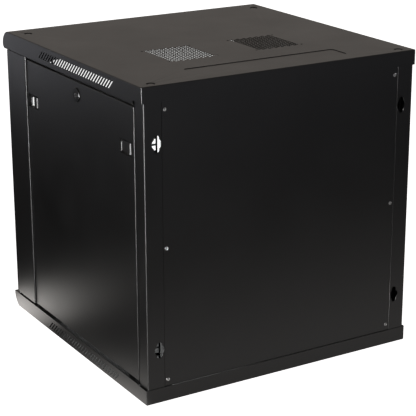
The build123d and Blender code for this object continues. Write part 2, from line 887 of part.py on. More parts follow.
for place, facing in (("front", -1), ("rear", 1)):
    right_rail = mounting_rail(facing)
    right_bolts = rail_bolts(facing)
    keep(right_rail, f"mounting_rail_{place}_right")
    keep(mirrored(right_rail), f"mounting_rail_{place}_left")
    keep(right_bolts, f"rail_bolts_{place}_right")
    keep(mirrored(right_bolts), f"rail_bolts_{place}_left")

# Side panels: shallow pans between the posts, with latches near the top corners and a cam lock between them
latch_places = [("front", latch_front_y, -1), ("rear", latch_rear_y, 1)]
with BuildPart() as side_panel_right:
    with BuildSketch(Plane.YZ.offset(panel_face_x)):
        with Locations(((side_front_y + side_rear_y) / 2, (side_low_z + side_high_z) / 2)):
            Rectangle(side_rear_y - side_front_y, side_high_z - side_low_z)
    extrude(amount=-side_panel_flange)
    fillet(
        side_panel_right.faces().sort_by(Axis.X)[-1].edges() + side_panel_right.edges().filter_by(Axis.X),
        radius=panel_bend,
    )
    with BuildSketch(Plane.YZ.offset(panel_inner_x)):
        with Locations(((side_front_y + side_rear_y) / 2, (side_low_z + side_high_z) / 2)):
            Rectangle(
                side_rear_y - side_front_y - 2 * panel_sheet,
                side_high_z - side_low_z - 2 * panel_sheet,
            )
    extrude(amount=-side_panel_flange, mode=Mode.SUBTRACT)
    # Feet that stand on the lip of the tray
    with BuildSketch(Plane.YZ.offset(panel_face_x - side_panel_flange)):
        with Locations(
            (side_front_y + side_panel_foot_inset, side_low_z + panel_sheet),
            (side_rear_y - side_panel_foot_inset, side_low_z + panel_sheet),
        ):
            Rectangle(
                side_panel_foot_length,
                side_low_z + panel_sheet - tray_band - seat_gap,
                align=(Align.CENTER, Align.MAX),
            )
    extrude(amount=panel_sheet)
    with BuildSketch(Plane.YZ.offset(panel_face_x)):
        for place, middle_y, outward in latch_places:
            with Locations((middle_y, latch_z)):
                RectangleRounded(latch_length, latch_height, latch_corner)
        with Locations((side_lock_y, side_lock_z)):
            Circle(lock_barrel_radius)
    extrude(amount=2 * panel_sheet, both=True, mode=Mode.SUBTRACT)
    latch_slot(side_front_y, 2 * panel_sheet)
    latch_slot(side_rear_y, 2 * panel_sheet)
keep(side_panel_right, "side_panel_right")
keep(mirrored(side_panel_right), "side_panel_left")

# Slide latches: a housing behind the panel, and a slider with a finger window and a bolt
latch_back_x = latch_plate_x - latch_plate - seat_gap - latch_housing_back


def latch_box(low_s, high_s, tall, middle_y, outward):
    """Sketch a rectangle from low_s to high_s, measured from the latch's middle the way its bolt goes."""
    with Locations((middle_y + outward * (low_s + high_s) / 2, latch_z)):
        Rectangle(high_s - low_s, tall)


def latch_housing(middle_y, outward):
    """Make the housing that guides a right-hand latch."""
    wall = latch_housing_wall
    with BuildPart() as housing:
        with BuildSketch(Plane.YZ.offset(latch_back_x)):
            latch_box(-latch_housing_far, latch_housing_near, latch_housing_height, middle_y, outward)
        extrude(amount=panel_inner_x - latch_back_x)
        # Room for the slider
        with BuildSketch(Plane.YZ.offset(latch_back_x + latch_housing_back)):
            latch_box(
                wall - latch_housing_far,
                latch_housing_near - wall,
                latch_housing_height - 2 * wall,
                middle_y,
                outward,
            )
        extrude(amount=latch_plate + 2 * seat_gap, mode=Mode.SUBTRACT)
        with BuildSketch(Plane.YZ.offset(latch_back_x + latch_housing_back)):
            with Locations((middle_y, latch_z)):
                RectangleRounded(latch_length, latch_height, latch_corner)
        extrude(amount=panel_inner_x - latch_back_x, mode=Mode.SUBTRACT)
        # Opening in the back of the front latches, and the way out for the bolt
        if outward < 0:
            with BuildSketch(Plane.YZ.offset(latch_back_x)) as back_opening:
                with Locations((middle_y + latch_back_opening_shift, latch_z - latch_window_drop)):
                    Rectangle(latch_back_opening, latch_window_height)
            extrude(back_opening.sketch, amount=2 * latch_housing_back, mode=Mode.SUBTRACT)
        with BuildSketch(Plane.YZ.offset(latch_plate_x + seat_gap)):
            latch_box(
                latch_housing_near - 2 * wall,
                latch_housing_near + wall,
                latch_bolt_height + 2 * seat_gap,
                middle_y,
                outward,
            )
        extrude(amount=-latch_plate - 2 * seat_gap, mode=Mode.SUBTRACT)
    return housing


def latch_slider(middle_y, outward, window_shift, ridge_s):
    """Make the slider of a right-hand latch, drawn back, with its thumb ridge beginning at ridge_s."""
    near_end = latch_housing_near - latch_housing_wall - latch_travel - seat_gap
    far_end = latch_housing_wall + seat_gap - latch_housing_far
    plate_height = latch_housing_height - 2 * latch_housing_wall - 2 * seat_gap
    with BuildPart() as slider:
        with BuildSketch(Plane.YZ.offset(latch_plate_x)):
            latch_box(far_end, near_end, plate_height, middle_y, outward)
            latch_box(near_end - latch_travel, near_end + latch_bolt_length, latch_bolt_height, middle_y, outward)
            with Locations((middle_y + window_shift, latch_z - latch_window_drop)):
                RectangleRounded(
                    latch_window_length, latch_window_height, latch_corner, mode=Mode.SUBTRACT
                )
            # The top edge is cut back, so that a dark line shows above the slider
            with Locations((middle_y + outward * latch_notch_shift, latch_z + latch_notch_z)):
                Rectangle(
                    latch_notch_length,
                    plate_height,
                    align=(Align.CENTER, Align.MIN),
                    mode=Mode.SUBTRACT,
                )
        extrude(amount=-latch_plate)
        plate_face = slider.faces().sort_by(Axis.X)[-1]
        chamfer(plate_face.inner_wires()[0].edges(), latch_window_bevel)
        with BuildSketch(Plane.YZ.offset(latch_plate_x)):
            latch_box(ridge_s - latch_ridge_width, ridge_s, 2 * latch_notch_z, middle_y, outward)
        extrude(amount=latch_ridge_height)
        ridge_top = slider.faces().sort_by(Axis.X)[-1]
        chamfer(ridge_top.edges().filter_by(Axis.Z).sort_by(Axis.Y)[-1], latch_ridge_bevel)
    return slider


for place, middle_y, outward in latch_places:
    ridge_s = latch_front_ridge if outward < 0 else latch_rear_ridge
    window_shift = latch_front_window if outward < 0 else latch_rear_window
    right_housing = latch_housing(middle_y, outward)
    right_slider = latch_slider(middle_y, outward, window_shift, ridge_s)
    keep(right_housing, f"latch_housing_{place}_right")
    keep(mirrored(right_housing), f"latch_housing_{place}_left")
    keep(right_slider, f"latch_slider_{place}_right")
    keep(mirrored(right_slider), f"latch_slider_{place}_left")


# Cam locks: each is drawn along the axis of its plane, which points out of the cabinet
def lock_barrel(face, bezel_radius):
    """Make the bezel and barrel of a cam lock on the plane of the sheet that holds it."""
    with BuildPart() as barrel:
        with BuildSketch(face):
            Circle(bezel_radius)
        extrude(amount=lock_bezel_height)
        chamfer(barrel.edges().sort_by(Axis(face.origin, face.z_dir))[-1], lock_bezel_height / 2)
        with BuildSketch(face):
            Circle(lock_barrel_radius)
        extrude(amount=-lock_barrel_length)
        with BuildSketch(face.offset(lock_bezel_height)):
            Circle(lock_plug_radius)
        extrude(amount=-lock_barrel_length - 2 * lock_bezel_height, mode=Mode.SUBTRACT)
    return barrel


def lock_plug(face):
    """Make the plug that turns in a barrel, with its key slot and its square tail."""
    with BuildPart() as plug:
        with BuildSketch(face.offset(lock_bezel_height + lock_plug_proud)):
            Circle(lock_plug_radius - pin_gap)
        extrude(amount=-lock_barrel_length - lock_bezel_height - lock_plug_proud)
        with BuildSketch(face.offset(-lock_barrel_length)):
            Rectangle(lock_square, lock_square)
        extrude(amount=-cam_sheet)
        with BuildSketch(face.offset(lock_bezel_height + lock_plug_proud)):
            Rectangle(lock_slot_width, lock_slot_length)
        extrude(amount=-lock_slot_depth, mode=Mode.SUBTRACT)
    return plug


def lock_cam(face, reach, turn):
    """Make the cam behind a barrel, with its screw, pointing turn degrees round from the plane's x axis."""
    with BuildPart() as cam:
        with BuildSketch(face.offset(-lock_barrel_length).rotated((0, 0, turn))):
            with Locations(((reach - cam_width / 2) / 2, 0)):
                SlotOverall(reach + cam_width / 2, cam_width)
            Rectangle(lock_square, lock_square, mode=Mode.SUBTRACT)
        extrude(amount=-cam_sheet)
    return cam


def cam_screw(face):
    """Make the screw that holds a cam on its plug."""
    with BuildPart() as screw:
        with BuildSketch(face.offset(-lock_barrel_length - cam_sheet)):
            RegularPolygon(cam_screw_radius * 2, 6)
        extrude(amount=-cam_screw_height)
    return screw


def lock_nut(face, sheet):
    """Make the nut that clamps a barrel in its sheet."""
    with BuildPart() as nut:
        with BuildSketch(face.offset(-sheet)):
            RegularPolygon(lock_nut_radius, 6)
            Circle(lock_barrel_radius, mode=Mode.SUBTRACT)
        extrude(amount=-lock_nut_height)
    return nut


side_lock_face = Plane(origin=(panel_face_x, side_lock_y, side_lock_z), x_dir=(0, -1, 0), z_dir=(1, 0, 0))
side_lock_pieces = {
    "side_lock_barrel": lock_barrel(side_lock_face, lock_bezel_radius),
    "side_lock_nut": lock_nut(side_lock_face, panel_sheet),
    "side_lock_plug": lock_plug(side_lock_face),
    "side_lock_cam": lock_cam(side_lock_face, side_cam_reach, 0),
    "side_lock_cam_screw": cam_screw(side_lock_face),
}
for name, piece in side_lock_pieces.items():
    keep(piece, f"{name}_right")
    keep(mirrored(piece), f"{name}_left")

# Front door: a formed frame round a glass pane
door_half_width = half_width - door_side_gap
door_low_z = tray_band + door_low_gap
door_high_z = top_band_z - door_top_gap
door_middle_z = (door_low_z + door_high_z) / 2
glass_opening_width = 2 * (door_half_width - door_stile)
glass_opening_height = door_high_z - door_low_z - 2 * door_rail
with BuildPart() as door_frame:
    with BuildSketch(Plane.YZ):
        with BuildLine():
            Polyline(
                (door_back_y, door_low_z),
                (door_back_y, door_high_z),
                (door_front_y, door_high_z),
                (door_front_y, door_low_z + door_bevel),
                (door_front_y + door_bevel, door_low_z),
                close=True,
            )
        door_profile = make_face()
    extrude(amount=door_half_width, both=True)
    door_front_edges = door_frame.edges().filter_by(lambda edge: edge.center().Y < door_front_y + seat_gap)
    fillet(
        door_front_edges.filter_by(Axis.Z) + door_front_edges.filter_by(Axis.X).sort_by(Axis.Z)[-1:],
        radius=door_bend,
    )
    with BuildSketch(Plane.YZ):
        offset(door_profile, amount=-door_sheet, kind=Kind.INTERSECTION)
    extrude(amount=door_half_width - door_sheet, both=True, mode=Mode.SUBTRACT)
    with BuildSketch(Plane.XZ.offset(-door_back_y)):
        with Locations((0, door_middle_z)):
            Rectangle(
                2 * (door_half_width - door_return),
                door_high_z - door_low_z - 2 * door_return,
            )
    extrude(amount=2 * door_sheet, both=True, mode=Mode.SUBTRACT)
    with BuildSketch(Plane.XZ.offset(-door_front_y)):
        with Locations((0, door_middle_z)):
            RectangleRounded(glass_opening_width, glass_opening_height, door_corner)
    extrude(amount=2 * door_sheet, both=True, mode=Mode.SUBTRACT)
    # The lock passes through the face and through the edge of the return
    with BuildSketch(Plane.XZ.offset(-door_front_y)):
        with Locations((door_lock_x, door_lock_z)):
            Circle(lock_barrel_radius)
    extrude(amount=-door_thickness, mode=Mode.SUBTRACT)
    # Holes for the hinge pins
    with BuildSketch(Plane.XY.offset(door_low_z - overrun)):
        with Locations((hinge_x, hinge_y)):
            Circle(hinge_pin_radius + pin_gap)
    extrude(amount=height, mode=Mode.SUBTRACT)
keep(door_frame, "door_frame")

seal_y = door_front_y + door_sheet
glass_y = seal_y + door_seal_sheet
with BuildPart() as door_seal:
    with BuildSketch(Plane.XZ.offset(-seal_y)):
        with Locations((0, door_middle_z)):
            Rectangle(glass_opening_width + 2 * door_seal_width, glass_opening_height + 2 * door_seal_width)
            Rectangle(glass_opening_width, glass_opening_height, mode=Mode.SUBTRACT)
    extrude(amount=-door_seal_sheet)
keep(door_seal, "door_seal")

with BuildPart() as door_glass:
    with BuildSketch(Plane.XZ.offset(-glass_y)):
        with Locations((0, door_middle_z)):
            RectangleRounded(
                glass_opening_width + 2 * door_glass_overlap,
                glass_opening_height + 2 * door_glass_overlap,
                door_corner,
            )
    extrude(amount=-door_glass_sheet)
keep(door_glass, "door_glass")

door_lock_face = Plane(origin=(door_lock_x, door_front_y, door_lock_z), x_dir=(0, 0, -1), z_dir=(0, -1, 0))
keep(lock_barrel(door_lock_face, door_bezel_radius), "door_lock_barrel")
keep(lock_nut(door_lock_face, door_sheet), "door_lock_nut")
keep(lock_plug(door_lock_face), "door_lock_plug")
keep(lock_cam(door_lock_face, door_cam_reach, 0), "door_lock_cam")
keep(cam_screw(door_lock_face), "door_lock_cam_screw")

# Hinge of the door: a fixed pin below and a sprung pin above
bush_low_z = door_low_z + door_sheet + hinge_block_lift
block_x = door_half_width - door_sheet - hinge_block_width / 2
with BuildPart() as hinge_bush:
    with BuildSketch(Plane.XY.offset(bush_low_z)):
        with Locations((block_x, hinge_y)):
            Rectangle(hinge_block_width, hinge_block_depth)
        with Locations((hinge_x, hinge_y)):
            Circle(hinge_pin_radius + pin_gap, mode=Mode.SUBTRACT)
    extrude(amount=hinge_block_height)
keep(hinge_bush, "hinge_bush")

with BuildPart() as hinge_pin_lower:
    with BuildSketch(Plane.XY.offset(tray_band - cover_sheet - hinge_pin_root)):
        with Locations((hinge_x, hinge_y)):
            Circle(hinge_pin_radius)
    extrude(amount=bush_low_z + hinge_block_height - tray_band + cover_sheet + hinge_pin_root)
    with BuildSketch(Plane.XY.offset(tray_band)):
        with Locations((hinge_x, hinge_y)):
            Circle(hinge_collar_radius)
    extrude(amount=door_low_gap - seat_gap)
keep(hinge_pin_lower, "hinge_pin_lower")

guide_high_z = door_high_z - door_sheet
guide_low_z = guide_high_z - hinge_guide_height
guide_x = door_half_width - door_sheet - hinge_guide_width / 2
with BuildPart() as hinge_guide:
    with BuildSketch(Plane.XY.offset(guide_low_z)):
        with Locations((guide_x, hinge_y)):
            Rectangle(hinge_guide_width, hinge_block_depth)
        with Locations((hinge_x, hinge_y)):
            Circle(hinge_pin_radius + pin_gap, mode=Mode.SUBTRACT)
    extrude(amount=hinge_guide_height)
    # Open middle, in which the collar of the pin travels
    with BuildSketch(Plane.XY.offset(guide_low_z + hinge_guide_ear)):
        with Locations((guide_x + hinge_guide_wall, hinge_y)):
            Rectangle(hinge_guide_width, hinge_block_depth)
    extrude(amount=hinge_guide_height - 2 * hinge_guide_ear, mode=Mode.SUBTRACT)
keep(hinge_guide, "hinge_pin_guide")

pin_collar_z = guide_high_z - hinge_guide_ear - seat_gap - hinge_pin_collar_height
pin_low_z = guide_low_z - hinge_lever_drop - hinge_lever_radius
with BuildPart() as hinge_pin_upper:
    with BuildSketch(Plane.XY.offset(pin_low_z)):
        with Locations((hinge_x, hinge_y)):
            Circle(hinge_pin_radius)
    extrude(amount=top_band_z + hinge_pin_tip - pin_low_z)
    with BuildSketch(Plane.XY.offset(pin_collar_z)):
        with Locations((hinge_x, hinge_y)):
            Circle(hinge_pin_collar_radius)
    extrude(amount=hinge_pin_collar_height)
    with BuildSketch(Plane.YZ.offset(hinge_x)):
        with Locations((hinge_y, guide_low_z - hinge_lever_drop)):
            Circle(hinge_lever_radius)
    extrude(amount=-hinge_lever_length)
keep(hinge_pin_upper, "hinge_pin_upper")
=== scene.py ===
"""Looks of a wall mount network cabinet: its finishes, its smallest pieces, the studio and the camera."""

from __future__ import annotations

import json
import logging
import math
from dataclasses import dataclass, field
from enum import Enum

import bmesh
import bpy
import numpy as np
from mathutils import Matrix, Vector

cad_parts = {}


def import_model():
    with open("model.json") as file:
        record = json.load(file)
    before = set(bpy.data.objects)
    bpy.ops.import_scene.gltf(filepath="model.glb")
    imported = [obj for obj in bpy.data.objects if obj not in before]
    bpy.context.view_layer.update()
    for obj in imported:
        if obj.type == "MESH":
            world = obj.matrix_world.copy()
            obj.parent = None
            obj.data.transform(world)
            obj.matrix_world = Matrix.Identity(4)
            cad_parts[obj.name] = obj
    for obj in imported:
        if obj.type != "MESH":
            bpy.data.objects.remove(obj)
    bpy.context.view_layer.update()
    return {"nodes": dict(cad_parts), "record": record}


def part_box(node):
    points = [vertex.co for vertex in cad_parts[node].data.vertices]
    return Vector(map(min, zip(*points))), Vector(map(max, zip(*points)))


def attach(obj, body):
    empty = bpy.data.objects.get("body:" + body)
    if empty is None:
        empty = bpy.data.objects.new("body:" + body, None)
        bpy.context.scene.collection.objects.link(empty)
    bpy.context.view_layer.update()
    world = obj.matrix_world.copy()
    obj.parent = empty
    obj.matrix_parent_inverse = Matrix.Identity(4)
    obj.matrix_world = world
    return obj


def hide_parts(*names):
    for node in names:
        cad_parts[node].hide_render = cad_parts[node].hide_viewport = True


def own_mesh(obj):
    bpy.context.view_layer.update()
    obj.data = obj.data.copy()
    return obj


LOG = logging.getLogger("cabinet")
Vec = tuple[float, float, float]
Pair = tuple[float, float]
TAU = 2.0 * math.pi
NOISE_MEAN = 0.5
CORNERS = np.array([(-1.0, -1.0), (1.0, -1.0), (1.0, 1.0), (-1.0, 1.0)])


class Number:
    """A number socket of a shader graph: an expression on it adds the Math nodes that it needs."""

    def __init__(self, graph: Graph, socket: bpy.types.NodeSocket) -> None:
        """Wrap one output socket.

        Args:
            graph: the graph that the socket belongs to.
            socket: the output socket that carries the number.
        """
        self.graph = graph
        self.socket = socket

    def _math(self, operation: str, *values: Number | float) -> Number:
        """Add one Math node.

        Args:
            operation: the Math node's operation.
            values: its inputs in order, sockets or plain numbers.

        Returns:
            The node's result.
        """
        made = self.graph.node("ShaderNodeMath", {"operation": operation}, dict(enumerate(values)))
        return Number(self.graph, made.outputs[0])

    def __add__(self, other: Number | float) -> Number:
        """Return self + other."""
        return self._math("ADD", self, other)

    __radd__ = __add__

    def __sub__(self, other: Number | float) -> Number:
        """Return self - other."""
        return self._math("SUBTRACT", self, other)

    def __rsub__(self, other: float) -> Number:
        """Return other - self."""
        return self._math("SUBTRACT", other, self)

    def __mul__(self, other: Number | float) -> Number:
        """Return self * other."""
        return self._math("MULTIPLY", self, other)

    __rmul__ = __mul__

    def __truediv__(self, other: Number | float) -> Number:
        """Return self / other."""
        return self._math("DIVIDE", self, other)

    def __pow__(self, power: float) -> Number:
        """Return self raised to a power."""
        return self._math("POWER", self, power)

    def __abs__(self) -> Number:
        """Return the number without its sign."""
        return self._math("ABSOLUTE", self)

    def over(self, other: Number) -> Number:
        """Return the greater of self and other."""
        return self._math("MAXIMUM", self, other)

    def step(self, low: float, high: float) -> Number:
        """Rise smoothly from 0 at low to 1 at high, or fall where low is the greater.

        Args:
            low: the value that gives 0.
            high: the value that gives 1.

        Returns:
            The smoothed share between the two.
        """
        made = self.graph.node(
            "ShaderNodeMapRange",
            {"interpolation_type": "SMOOTHSTEP"},
            {"Value": self, "From Min": low, "From Max": high, "To Min": 0.0, "To Max": 1.0},
        )
        return Number(self.graph, made.outputs["Result"])


class Graph:
    """The node tree of one material or world, with one way to add a node."""

    def __init__(self, tree: bpy.types.NodeTree) -> None:
        """Start from an empty tree."""
        self.tree = tree
        tree.nodes.clear()

    def node(self, kind: str, settings: dict | None = None, inputs: dict | None = None) -> bpy.types.Node:
        """Add a node, set it up, then give its sockets their values or links.

        Args:
            kind: the node's type.
            settings: attributes that are set before any socket.
            inputs: values, sockets or numbers by the name or index of the input.

        Returns:
            The new node.
        """
        made = self.tree.nodes.new(kind)
        for key, value in (settings or {}).items():
            setattr(made, key, value)
        for key, value in (inputs or {}).items():
            source = value.socket if isinstance(value, Number) else value
            if isinstance(source, bpy.types.NodeSocket):
                self.tree.links.new(source, made.inputs[key])
            else:
                made.inputs[key].default_value = source
        return made

    def noise(self, place: bpy.types.NodeSocket, scale: float, detail: float) -> Number:
        """Add fractal noise.

        Args:
            place: the coordinates.
            scale: waves per metre.
            detail: octaves beyond the first.

        Returns:
            The noise, NOISE_MEAN on average.
        """
        made = self.node("ShaderNodeTexNoise", {}, {"Vector": place, "Scale": scale, "Detail": detail})
        return Number(self, made.outputs["Fac"])

    def mix(
        self, share: Number, first: Vec | bpy.types.NodeSocket, second: Vec | bpy.types.NodeSocket
    ) -> bpy.types.NodeSocket:
        """Blend two colours.

        Args:
            share: 0 for the first colour, 1 for the second.
            first: linear red, green and blue, or a colour socket.
            second: linear red, green and blue, or a colour socket.

        Returns:
            The colour socket.
        """
        first, second = ((*c, 1.0) if isinstance(c, tuple) else c for c in (first, second))
        made = self.node("ShaderNodeMix", {"data_type": "RGBA"}, {0: share, 6: first, 7: second})
        return made.outputs[2]

    def bump(self, height: Number, distance: float) -> bpy.types.NodeSocket:
        """Turn a height from 0 to 1 into a normal.

        Args:
            height: the height as a share of distance.
            distance: the depth of the relief in metres.

        Returns:
            The normal socket.
        """
        made = self.node("ShaderNodeBump", {}, {"Height": height, "Distance": distance})
        return made.outputs["Normal"]

    def axes(self, output: str) -> tuple[Number, Number, Number]:
        """Split an output of Texture Coordinate.

        Args:
            output: the output's name.

        Returns:
            Its X, Y and Z.
        """
        place = self.node("ShaderNodeTexCoord").outputs[output]
        parts = self.node("ShaderNodeSeparateXYZ", {}, {0: place})
        return tuple(Number(self, parts.outputs[axis]) for axis in "XYZ")

    def surface(self, shader: bpy.types.Node) -> None:
        """Make a shader the material's surface."""
        self.node("ShaderNodeOutputMaterial", {}, {"Surface": shader.outputs[0]})


def start_material(name: str) -> tuple[bpy.types.Material, Graph]:
    """Start a material.

    Args:
        name: the material's name.

    Returns:
        The material, and its empty graph.
    """
    material = bpy.data.materials.new(name)
    material.use_nodes = True
    return material, Graph(material.node_tree)


def link(name: str, data: bpy.types.ID) -> bpy.types.Object:
    """Put a mesh, a light or a camera into the scene.

    Args:
        name: the object's name.
        data: what the object shows.

    Returns:
        The object, at the origin.
    """
    made = bpy.data.objects.new(name, data)
    bpy.context.scene.collection.objects.link(made)
    return made


@dataclass(frozen=True)
class Finish:
    """A surface finish: its steady values, and how it varies."""

    name: str
    colour: Vec
    worn: Vec
    roughness: float
    metallic: float = 0.0
    spread: float = 0.05
    grain_scale: float = 900.0
    grain_depth: float = 0.00004
    peel_scale: float = 0.0
    peel_depth: float = 0.0
    specular: float = 0.5
    grain_detail: float = 2.0
    grain_under_peel: float = 0.6
    peel_detail: float = 1.0
    cloud_scale: float = 9.0
    cloud_detail: float = 3.0
    cloud_rise: Pair = (0.35, 0.75)

    def build(self) -> bpy.types.Material:
        """Build the material.

        Two noises make the relief: a fine grain, and a broad soft peel where the finish has one. A slow noise
        moves the roughness by the spread either way and shifts the colour a little toward the worn one.

        Returns:
            The material.
        """
        material, graph = start_material(self.name)
        place = graph.node("ShaderNodeTexCoord").outputs["Object"]
        grain = graph.noise(place, self.grain_scale, self.grain_detail)
        height = grain
        if self.peel_scale:
            peel = graph.noise(place, self.peel_scale, self.peel_detail)
            height = grain * self.grain_under_peel + peel * (self.peel_depth / self.grain_depth)
        cloud = graph.noise(place, self.cloud_scale, self.cloud_detail)
        drift = (cloud - NOISE_MEAN) * (2.0 * self.spread)
        rough = self.roughness + drift + (grain - NOISE_MEAN) * self.spread
        shader = graph.node(
            "ShaderNodeBsdfPrincipled",
            {},
            {
                "Base Color": graph.mix(cloud.step(*self.cloud_rise), self.colour, self.worn),
                "Roughness": rough,
                "Metallic": self.metallic,
                "Specular IOR Level": self.specular,
                "Normal": graph.bump(height, self.grain_depth),
            },
        )
        graph.surface(shader)
        return material


@dataclass(frozen=True)
class Pane:
    """Clear glass with the faint smears of wiping."""

    name: str
    colour: Vec
    roughness: float
    ior: float
    smear_scale: float = 7.0
    smear_detail: float = 4.0
    smear_rise: Pair = (0.45, 0.8)
    smear_roughness: float = 0.02

    def build(self) -> bpy.types.Material:
        """Build the material: slow noise makes the roughness rise a little where a cloth has passed.

        Returns:
            The material.
        """
        material, graph = start_material(self.name)
        place = graph.node("ShaderNodeTexCoord").outputs["Object"]
        smear = graph.noise(place, self.smear_scale, self.smear_detail).step(*self.smear_rise)
        shader = graph.node(
            "ShaderNodeBsdfPrincipled",
            {},
            {
                "Base Color": (*self.colour, 1.0),
                "Roughness": self.roughness + smear * self.smear_roughness,
                "IOR": self.ior,
                "Transmission Weight": 1.0,
            },
        )
        graph.surface(shader)
        return material


class Coat(Enum):
    """The finishes that the cabinet's pieces have."""

    POWDER = Finish(
        "black_powder_coat", (0.0105, 0.0105, 0.0115), (0.013, 0.013, 0.0142), 0.40,
        spread=0.05, grain_scale=760.0, grain_depth=0.00005, peel_scale=260.0, peel_depth=0.00007,
    )
    RAIL = Finish(
        "rail_paint", (0.012, 0.012, 0.0125), (0.016, 0.016, 0.0165), 0.36,
        spread=0.04, grain_scale=420.0, grain_depth=0.00002,
    )
    # Painted shade: plated zinc darkened well below bright zinc, so the screw heads read as dark as the shade
    # in their recesses and on their far side, and only the card's glint shows bright
    BLACK_ZINC = Finish(
        "zinc_darkened_as_shade", (0.34, 0.34, 0.345), (0.28, 0.28, 0.28), 0.3, metallic=1.0,
        spread=0.05, grain_scale=1500.0, grain_depth=0.00001,
    )
    ZINC = Finish(
        "bright_zinc_plate", (0.62, 0.63, 0.64), (0.50, 0.51, 0.50), 0.27, metallic=1.0,
        spread=0.07, grain_scale=1500.0, grain_depth=0.00001,
    )
    BLACKENED = Finish(
        "blackened_steel", (0.045, 0.045, 0.046), (0.07, 0.068, 0.065), 0.38, metallic=0.85,
        spread=0.08, grain_scale=1500.0, grain_depth=0.00001,
    )
    NICKEL = Finish(
        "nickel_plate", (0.58, 0.57, 0.55), (0.50, 0.48, 0.45), 0.2, metallic=1.0,
        spread=0.05, grain_scale=1800.0, grain_depth=0.000008,
    )
    DARK_NICKEL = Finish(
        "dark_nickel", (0.035, 0.035, 0.036), (0.055, 0.054, 0.053), 0.3, metallic=0.9,
        spread=0.06, grain_scale=1500.0, grain_depth=0.00001,
    )
    MOULDED = Finish(
        "moulded_black_plastic", (0.012, 0.012, 0.0125), (0.017, 0.017, 0.0172), 0.45,
        spread=0.06, grain_scale=1300.0, grain_depth=0.00003,
    )
    SEAL = Finish(
        "seal_rubber", (0.012, 0.012, 0.012), (0.02, 0.02, 0.02), 0.7,
        spread=0.06, grain_scale=900.0, grain_depth=0.00003, specular=0.3,
    )
    GLASS = Pane("door_glass_clear", (0.93, 0.95, 0.95), 0.0, 1.5)

    def material(self) -> bpy.types.Material:
        """Return this finish's material, built at its first use."""
        return bpy.data.materials.get(self.value.name) or self.value.build()


COAT_OF_SLOT: dict[str, Coat] = {
    "powder_coated_steel": Coat.POWDER,
    "rail_coating": Coat.RAIL,
    "plated_sheet": Coat.RAIL,
    "zinc_plated_steel": Coat.ZINC,
    "dark_bolt_steel": Coat.BLACKENED,
    "latch_plastic": Coat.MOULDED,
    "lock_body": Coat.DARK_NICKEL,
    "lock_metal": Coat.NICKEL,
    "door_pane": Coat.GLASS,
    "door_seal": Coat.SEAL,
}


SHEET_SLOTS = ("powder_coated_steel", "rail_coating", "plated_sheet")


def add_mesh(name: str, points: np.ndarray, faces: list[list[int]]) -> bpy.types.Object:
    """Make an object at the origin from points and faces.

    Args:
        name: the object's name.
        points: an array of points in metres, one row each.
        faces: the indices of each face's points.

    Returns:
        The linked object.
    """
    mesh = bpy.data.meshes.new(name)
    mesh.from_pydata(points.tolist(), [], faces)
    mesh.validate()
    return link(name, mesh)


def add_level(name: str, reach: float, height: float) -> bpy.types.Object:
    """Lay a level square round the origin.

    Args:
        name: the square's name.
        reach: half its side.
        height: its height.

    Returns:
        The linked object.
    """
    corners = np.column_stack([CORNERS * reach, np.full(len(CORNERS), height)])
    return add_mesh(name, corners, [[0, 1, 2, 3]])


def face_out(mesh: bpy.types.Mesh) -> None:
    """Turn the faces of a closed mesh outward."""
    form = bmesh.new()
    form.from_mesh(mesh)
    bmesh.ops.recalc_face_normals(form, faces=form.faces)
    form.to_mesh(mesh)
    form.free()


def grid_faces(rows: int, columns: int, close: bool) -> np.ndarray:
    """Join a grid of points into quads, row by row.

    Args:
        rows: points along the first parameter.
        columns: points along the second.
        close: whether the last column meets the first.

    Returns:
        One row of four indices to a face.
    """
    steps = columns if close else columns - 1
    down, across = np.meshgrid(np.arange(rows - 1), np.arange(steps), indexing="ij")
    here = down * columns + across
    right = down * columns + (across + 1) % columns
    return np.stack([here, right, right + columns, here + columns], axis=-1).reshape(-1, 4)


@dataclass
class CaseSheets:
    """The folded sheet pieces, remade from the frame's own shapes with soft bends."""

    nodes: dict[str, bpy.types.Object]
    slots: dict[str, str]
    bodies: dict[str, list[str]]
    weld: float = 0.000002
    bend_angle: float = math.radians(32.0)
    normal_weight: int = 100

    def body_of(self, node: str) -> str:
        """Return the body that a node belongs to."""
        return next(body for body, members in self.bodies.items() if node in members)

    def remake(self, node: str) -> bpy.types.Object:
        """Copy a node's mesh, join its loose triangles, and shade its bends smooth by area.

        Args:
            node: the node to stand for.

        Returns:
            The new piece.
        """
        mesh = self.nodes[node].data.copy()
        form = bmesh.new()
        form.from_mesh(mesh)
        bmesh.ops.remove_doubles(form, verts=form.verts, dist=self.weld)
        form.to_mesh(mesh)
        form.free()
        mesh.shade_smooth()
        mesh.set_sharp_from_angle(angle=self.bend_angle)
        piece = link(f"{node}_sheet", mesh)
        even = piece.modifiers.new("even_normals", "WEIGHTED_NORMAL")
        even.keep_sharp = True
        even.weight = self.normal_weight
        mesh.materials.clear()
        mesh.materials.append(COAT_OF_SLOT[self.slots[node]].material())
        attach(piece, self.body_of(node))
        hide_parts(node)
        return piece

    def dress(self, node: str) -> None:
        """Give a node that keeps its own shape its finish."""
        mesh = self.nodes[node].data
        mesh.materials.clear()
        mesh.materials.append(COAT_OF_SLOT[self.slots[node]].material())


